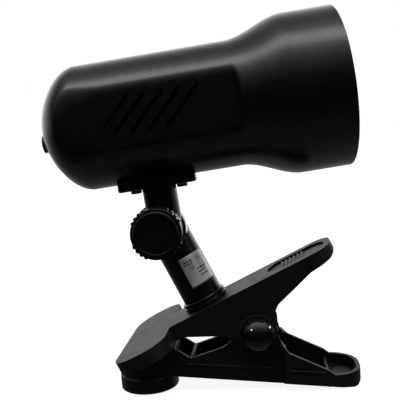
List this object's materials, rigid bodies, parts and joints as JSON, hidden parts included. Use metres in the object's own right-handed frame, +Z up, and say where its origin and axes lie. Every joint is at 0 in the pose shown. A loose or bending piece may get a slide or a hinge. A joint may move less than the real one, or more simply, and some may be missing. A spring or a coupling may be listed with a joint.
{
  "type": "clip-on reading lamp",
  "caption": "Black clip-on reading lamp: bullet-shaped shade with slanted vents on a knob-locked tilting stem that swivels on a sprung clamp.",
  "frame": {"origin": "centre of the foot disc's bottom face, on the surface the lamp stands on", "axes": "+X towards the shade's mouth and the clip's handles, -Y the tilt-knob side, +Z up; at rest the stem is turned 5 degrees on its own axis, so that the shade points a little to +Y"},
  "size_m": [0.1606, 0.0911, 0.1933],
  "materials": {
    "clip_plastic": "fine-textured satin black",
    "foot_rubber": "smooth satin black",
    "grip_rubber": "matt black",
    "steel": "zinc plated",
    "cap_plastic": "polished black",
    "spring_steel": "bright wire",
    "stem_plastic": "glossy black",
    "label_foil": "brushed foil",
    "screw_steel": "blackened with bright wear",
    "shade_paint": "satin black lacquer",
    "grommet_rubber": "matt black",
    "holder_plastic": "moulded black phenolic",
    "brass": "pressed",
    "terminal_plastic": "natural nylon",
    "bulb_glass": "frosted face, silvered cone",
    "bulb_aluminium": "pressed",
    "bulb_insulator": "black vitrite",
    "bulb_solder": "tinned",
    "knob_plastic": "satin black"
  },
  "bodies": {
    "base": {"lower_jaw": "clip_plastic", "foot_pad": "foot_rubber", "lower_grip_pad": "grip_rubber", "hinge_pin": "steel", "hinge_cap_near": "cap_plastic", "hinge_cap_far": "cap_plastic", "spring_lower": "spring_steel"},
    "upper": {"upper_jaw": "clip_plastic", "upper_grip_pad": "grip_rubber", "spring_upper": "spring_steel"},
    "stem": {"stem_tube": "stem_plastic", "stem_collar": "stem_plastic", "stem_label": "label_foil", "stem_clip": "spring_steel", "tilt_nut": "steel"},
    "head": {"head_bracket": "stem_plastic", "bracket_screw_front": "screw_steel", "bracket_screw_rear": "screw_steel", "lamp_shade": "shade_paint", "rear_grommet": "grommet_rubber", "holder_bracket": "steel", "holder_body": "holder_plastic", "holder_shell": "brass", "holder_contact_centre": "brass", "holder_contact_side": "brass", "terminal_block": "terminal_plastic", "terminal_screw_a": "screw_steel", "terminal_screw_b": "screw_steel"},
    "bulb": {"bulb_glass": "bulb_glass", "bulb_cap": "bulb_aluminium", "bulb_insulator": "bulb_insulator", "bulb_contact": "bulb_solder"},
    "knob": {"tilt_knob": "knob_plastic", "knob_stud": "steel", "knob_washer": "steel"}
  },
  "joints": [
    {"name": "clamp_hinge", "type": "hinge", "parent": "base", "child": "upper", "pos_m": [0.0604, 0, 0.0297], "axis": [0, 1, 0], "range_deg": [0, 28], "stiffness_Nm_per_rad": 0.6, "springref_deg": -40.11},
    {"name": "stem_swivel", "type": "hinge", "parent": "upper", "child": "stem", "pos_m": [0.0339, 0, 0.04398], "axis": [-0.4147, 0, 0.91], "range_deg": [-90, 90]},
    {"name": "head_tilt", "type": "hinge", "parent": "stem", "child": "head", "pos_m": [0.01155, -0.00032, 0.08413], "axis": [0.0793, -0.9962, 0.0361], "range_deg": [-20, 70]},
    {"name": "knob_turn", "type": "hinge", "parent": "stem", "child": "knob", "pos_m": [0.01155, -0.00032, 0.08413], "axis": [-0.0793, 0.9962, -0.0361], "range_deg": [-180, 180]},
    {"name": "bulb_pull", "type": "slide", "parent": "head", "child": "bulb", "axis": [0.9925, 0.0823, 0.0905], "range_m": [0, 0.03]}
  ]
}
